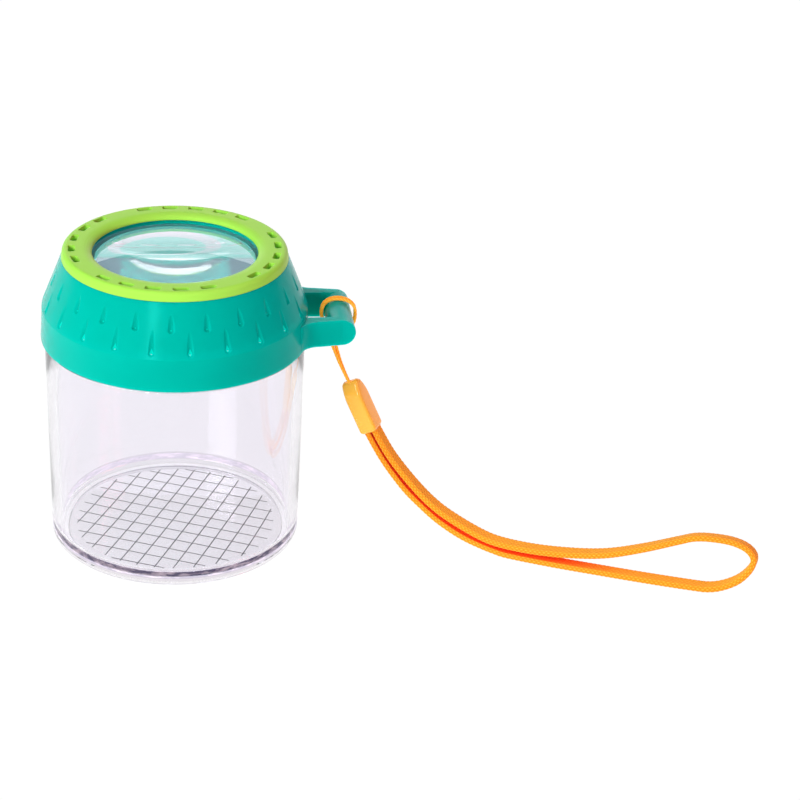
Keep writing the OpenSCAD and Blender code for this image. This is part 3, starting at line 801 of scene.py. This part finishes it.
def strap_mesh():
    """Points, stitch heights and edge shares of the knitted strap."""
    at, out, share = strap_outline(COLUMNS * COLUMN_STEPS)
    tangents = unit(np.gradient(strap_line, axis=0))
    beyond = strap_line[:, 0] > LEAN_FROM_X
    lean = LEAN * np.maximum(0, strap_line[:, 2] - LEAN_FROM_Z) * beyond
    width = np.stack([np.full(len(lean), -math.sin(STRAP_HEADING)),
                      np.full(len(lean), math.cos(STRAP_HEADING)), -lean], axis=1)
    side = unit(width - tangents * np.sum(width * tangents, axis=1, keepdims=True))
    flat = np.cross(tangents, side)
    run = np.linspace(0, strap_length, len(strap_line))
    column = share * COLUMNS
    across = column - np.floor(column) - 0.5
    edge = np.clip((np.abs(at[:, 0]) - EDGE_FROM) / EDGE_OVER, 0, 1)
    row = (run[:, None] / STITCH + ROW_SLANT * np.abs(across)[None, :]
           + ROW_SHIFT * (np.floor(column) % 2)[None, :])
    height = ((0.5 + 0.5 * np.cos(2 * np.pi * row))
              * np.cos(np.pi * across)[None, :] ** STITCH_ROUND)
    push = (height - 1.0) * (FACE_DEPTH + EDGE_DEPTH * edge)[None, :]
    ring = at[None, :, :] + out[None, :, :] * push[:, :, None]
    points = (strap_line[:, None, :] + ring[:, :, :1] * side[:, None, :]
              + ring[:, :, 1:] * flat[:, None, :])
    return points, height, edge


strap_points, strap_height, strap_edge = strap_mesh()
_, strap_faces = join_rings([list(ring) for ring in strap_points])
print(f"{strap_length / STITCH:.0f} rows of stitches")

# %% [markdown]
# ## Yarn
#
# The yarn is dyed polyester: bright orange where the light falls on it, deep red-orange
# where one strand shades the next, with a soft sheen. The stitch heights go into the
# colour as painted shade, deep in the gaps and bright on the crests, and a fine noise
# breaks up the evenness. Between two strands the light bounces from yarn to yarn and
# comes out red, so a painted red bounce light also follows how open each point is. The
# thin cord also has a faint painted glow.

# %% Yarn for the strap and the cord
FLECKS, FLECK_DEPTH, FLECK_STRENGTH = 2600.0, 0.05 * MM, 0.5
# The gaps between the stitches carry painted shade; this share sets how light it stays.
GAP_LIGHT = 0.25  # how light the gaps between the stitches stay
# Painted red bounce light between close strands: its reach, contrast and depth, and its
# colour.
BOUNCE_PAINT_REACH, BOUNCE_PAINT_CONTRAST, BOUNCE_PAINT_DEPTH = 8 * MM, 2.4, 0.7
PAINTED_BOUNCE_RED = colour(250, 66, 0)


def yarn(name, deep, bright, fleck, glow):
    """Dyed yarn, with painted shade between its stitches and painted red bounce light
    between its strands; glow is painted light.
    """
    finish = Finish(name)
    stitch = finish.node("ShaderNodeAttribute", {"attribute_name": "stitch"}, out="Fac")
    flecks = finish.noise(FLECKS, 3.0)
    # The stitch heights paint shade: deep in the gaps between stitches, bright on their
    # crests.
    mask = GAP_LIGHT + (1 - GAP_LIGHT) * stitch - fleck * (1 - flecks)
    # Ambient occlusion paints red bounce light where strands lie close to each other.
    openness = finish.node("ShaderNodeAmbientOcclusion", {"only_local": True, "samples": 8},
                           {"Distance": BOUNCE_PAINT_REACH}, out="AO")
    surface = finish.node("ShaderNodeBsdfPrincipled", None, {
        "Base Color": finish.between(openness * BOUNCE_PAINT_CONTRAST - BOUNCE_PAINT_DEPTH, PAINTED_BOUNCE_RED,
                                     finish.between(mask, deep, bright)),
        "Roughness": 0.72,
        "Normal": finish.bumped(flecks, FLECK_DEPTH, FLECK_STRENGTH),
        "Emission Color": glow,
        "Emission Strength": 1.0,
        "Sheen Weight": 0.1,
        "Sheen Roughness": 0.4,
        "Specular IOR Level": 0.0,
    })
    return finish.done(surface)


print(f"strands redden within {BOUNCE_PAINT_REACH / MM:.0f} mm of each other")

# %% The strap's finish


def store_heights(piece, heights):
    """Keeps a height with each point of the mesh, for the finish to read."""
    layer = piece.data.attributes.new("stitch", "FLOAT", "POINT")
    layer.data.foreach_set("value", np.asarray(heights, np.float32).ravel())


strap_yarn = yarn("strap_yarn", colour(252, 126, 16), colour(255, 194, 66), fleck=0.25,
                  glow=BLACK)
# The cord's glow is painted light, for the light that passes through so thin a cord.
cord_yarn = yarn("cord_yarn", colour(252, 132, 24), colour(255, 204, 84), fleck=0.15,
                 glow=(0.25, 0.08, 0.0, 1))
# The stored heights paint shade between the stitches; on the broad faces it is weaker.
FACE_EVENNESS = 0.45  # how much less the stitches show on the broad faces
strap = put_piece("strap_knitted", strap_points.reshape(-1, 3), strap_faces, strap_yarn,
                  "lid_body", ("wrist_strap",))
strap.data.set_sharp_from_angle(angle=math.pi)
on_face = FACE_EVENNESS * (1 - strap_edge)[None, :]
store_heights(strap, strap_height * (1 - on_face) + on_face)
print(f"strap: {len(strap.data.polygons)} faces")

# %% [markdown]
# ## The cord
#
# The thin cord is laid up from three yarns. It leaves the bead as two strands, runs up
# inside the lug, over its bar, and comes back under it as a loop around both strands:
# what climbers call a girth hitch. Three separate yarns wound around each other could
# make it, but it is less than a millimetre thick. So it is one sweep, and each of its
# rings has three soft lobes that turn as they go.

# %% The cord's way
# One half of the cord's way, in mm: the middle between its two strands, and how far each
# strand lies from it in X and in Y.
CORD_HALF = [
    (49.9, -0.5, 43.4, 0, 0.5), (49, -0.1, 45.3, 0, 0.5), (48, 0.4, 47.4, 0.05, 0.5),
    (46.6, 1.1, 50.6, 0.2, 0.5), (45.3, 1.9, 54.2, 0.42, 0.35),
    (44.2, 2.6, 57, 0.55, 0.2), (41.9, 2.8, 62.4, 0.1, 0.58), (41, 2.8, 65, 0, 0.6),
    (41.5, 2.8, 67.8, 0, 0.6), (43.2, 2.8, 69.3, 0, 0.6), (45.6, 2.8, 69.7, 0, 0.6),
    (48.2, 2.8, 69.1, 0, 0.6), (50.1, 2.8, 67.4, 0, 0.6), (50.6, 2.8, 65, 0, 0.6),
    (50.2, 2.8, 62.4, 0, 0.7), (48.6, 2.8, 60.2, 0, 1.1), (46.2, 2.8, 58.6, 0, 1.7),
    (43.9, 2.8, 57.9, 0, 1.7), (42, 2.8, 57.7, 0, 0.9),
]
CORD_POINTS = ([(x - out, y - along, z) for x, y, z, out, along in CORD_HALF]
               + [(x + out, y + along, z) for x, y, z, out, along in reversed(CORD_HALF)])
CORD_ROUTE = [tuple(c * MM for c in p) for p in CORD_POINTS]
cord_line, cord_length = smooth_line(CORD_ROUTE, 0.16 * MM)
print(f"the cord runs {cord_length / MM:.0f} mm")

# %% Sides that follow the cord


def carried_sides(line, first):
    """Side vectors carried along a line without twisting."""
    tangents = unit(np.gradient(line, axis=0))
    sides = [unit(first - tangents[0] * (first @ tangents[0]))]
    for t in tangents[1:]:
        s = sides[-1] - t * (sides[-1] @ t)
        sides.append(unit(s))
    return tangents, np.array(sides)


cord_tangents, cord_sides = carried_sides(cord_line, np.array((0.0, 1.0, 0.0)))
print(len(cord_sides), "rings along the cord")

# %% Twisted cord
CORD_D, CORD_SIDES = 0.9 * MM, 24
YARNS, LAY, LOBE = 3, 3.2 * MM, 0.16


def cord_mesh():
    """Points and heights of a three-yarn cord along its line."""
    other = np.cross(cord_tangents, cord_sides)
    run = np.linspace(0, cord_length, len(cord_line))
    around = np.arange(CORD_SIDES) * 2 * np.pi / CORD_SIDES
    lobe = np.abs(np.cos(YARNS / 2 * (around[None, :] - 2 * np.pi * run[:, None] / LAY)))
    radius = CORD_D / 2 * (1 - LOBE + LOBE * lobe)
    points = (cord_line[:, None, :]
              + (radius * np.cos(around))[:, :, None] * cord_sides[:, None, :]
              + (radius * np.sin(around))[:, :, None] * other[:, None, :])
    return points, lobe


cord_points, cord_lobes = cord_mesh()
_, cord_faces = join_rings([list(ring) for ring in cord_points])
cord = put_piece("cord_twisted", cord_points.reshape(-1, 3), cord_faces, cord_yarn,
                 "lid_body", ("cord_loop",))
cord.data.set_sharp_from_angle(angle=math.pi)
# The lobe heights paint shade into the grooves between the cord's yarns.
store_heights(cord, cord_lobes)
print(f"cord: {len(cord.data.polygons)} faces")

# %% [markdown]
# ## Floor and light
#
# The photograph is a studio shot on white, with no shadow. A floor that is white by its
# own light fills the view. The light on the object comes from a big soft source at the
# front left, a rose one at the right that warms the strap's side, a small bright one in
# front that gives the lid its highlight, and a weak one from above.
#
# The clear jar and the lens show mostly what surrounds them. A wide pale backdrop behind
# gives them their white parts, and the dark beside it draws their edges.

# %% Floor
FLOOR_HALF, FLOOR_BRIGHTNESS = 6.0, 1.02
floor_finish = Finish("studio_floor")
studio_white = floor_finish.done(floor_finish.node("ShaderNodeBsdfPrincipled", None, {
    "Base Color": BLACK,
    "Roughness": 1.0,
    "Specular IOR Level": 0.0,
    "Emission Color": WHITE,
    "Emission Strength": FLOOR_BRIGHTNESS,
}))
floor_mesh = bpy.data.meshes.new("floor")
floor_mesh.from_pydata([(x * FLOOR_HALF, y * FLOOR_HALF, 0)
                        for x, y in ((-1, -1), (1, -1), (1, 1), (-1, 1))],
                       [], [(0, 1, 2, 3)])
floor_mesh.materials.append(studio_white)
floor = bpy.data.objects.new("floor", floor_mesh)
bpy.context.scene.collection.objects.link(floor)
print("floor", 2 * FLOOR_HALF, "m wide")

# %% Lights


def soft_light(name, at, toward, size, brightness, tint=(1, 1, 1)):
    """A rectangular area light at a place, turned toward a point."""
    data = bpy.data.lights.new(name, "AREA")
    data.shape, data.size, data.size_y = "RECTANGLE", size[0], size[1]
    data.energy, data.color = brightness * math.pi * size[0] * size[1], tint
    lamp = bpy.data.objects.new(name, data)
    bpy.context.scene.collection.objects.link(lamp)
    lamp.location = at
    lamp.rotation_euler = (Vector(toward) - Vector(at)).to_track_quat("-Z", "Y").to_euler()
    return lamp


ROSE, COOL_WHITE = (1, 0.17, 0.32), (0.93, 0.97, 1)
soft_light("key", (-0.9, -0.7, 0.8), (0, 0, 0.05), (0.7, 0.7), 10.0)
soft_light("fill", (0.9, -0.3, 0.6), (0.06, 0, 0.03), (0.5, 0.5), 4.5, ROSE)
soft_light("front", (-0.43, -1.07, 0.4), (0, 0, 0.07), (0.2, 0.2), 34.0)
soft_light("top", (0.1, -0.1, 1.2), (0.05, 0, 0.0), (0.8, 0.8), 1.3)
soft_light("backdrop", (0.6, 4.0, 1.08), (0, 0, 0.5), (6.6, 2.0), 1.8, COOL_WHITE)
print("five soft lights")

# %% [markdown]
# ## The ring in the lens
#
# The lens mirrors a pale pink ring. A ring that was printed on the lens would stay in its
# place when the lens turns, and a mirror image doesn't. So a ring lamp stands behind the
# lid, hidden from the camera and from everything but mirror images. It leans on two
# ellipses, because its image is thicker at its sides than at its front.

# %% Ring lamp
RING_AWAY, RING_HEADING, RING_STEPS = 110 * MM, math.radians(8.5), 96
# Each edge of the ring is an ellipse: its middle's place aside and up, its half width and
# its half height.
RING_OUTER = (-19.5 * MM, 124 * MM, 34 * MM, 32 * MM)
RING_INNER = (-20.5 * MM, 131 * MM, 27 * MM, 22.4 * MM)
RING_PINK, RING_BRIGHTNESS = (1.0, 0.62, 0.76, 1), 2.9


def ring_edge(aside, up, half_width, half_height):
    """The points of one elliptic edge of the ring, which stands upright."""
    side = Vector((math.cos(RING_HEADING), -math.sin(RING_HEADING), 0))
    middle = Vector((math.sin(RING_HEADING), math.cos(RING_HEADING), 0)) * RING_AWAY
    turns = [math.tau * i / RING_STEPS for i in range(RING_STEPS)]
    return [tuple(middle + side * (aside + half_width * math.cos(t))
                  + Vector((0, 0, up + half_height * math.sin(t)))) for t in turns]


ring_finish = Finish("ring_lamp_light")
ring_points, ring_faces = join_rings([ring_edge(*RING_OUTER), ring_edge(*RING_INNER)],
                                     capped=False)
ring_mesh = bpy.data.meshes.new("ring_lamp")
ring_mesh.from_pydata(ring_points, [], ring_faces)
ring_mesh.materials.append(ring_finish.done(ring_finish.node(
    "ShaderNodeEmission", None, {"Color": RING_PINK, "Strength": RING_BRIGHTNESS})))
ring = bpy.data.objects.new("ring_lamp", ring_mesh)
bpy.context.scene.collection.objects.link(ring)
ring.visible_camera = ring.visible_diffuse = ring.visible_transmission = False
print(f"ring lamp: {len(ring_faces)} faces")

# %% [markdown]
# ## The sky
#
# What no lamp covers is a faint even light, weak enough to leave the jar's edges dark.

# %% Sky
world = bpy.data.worlds.new("studio")
bpy.context.scene.world = world
world.use_nodes = True
sky = world.node_tree.nodes["Background"]
sky.inputs["Color"].default_value = (0.95, 0.96, 1.0, 1)
sky.inputs["Strength"].default_value = 0.12
print("a faint pale sky")
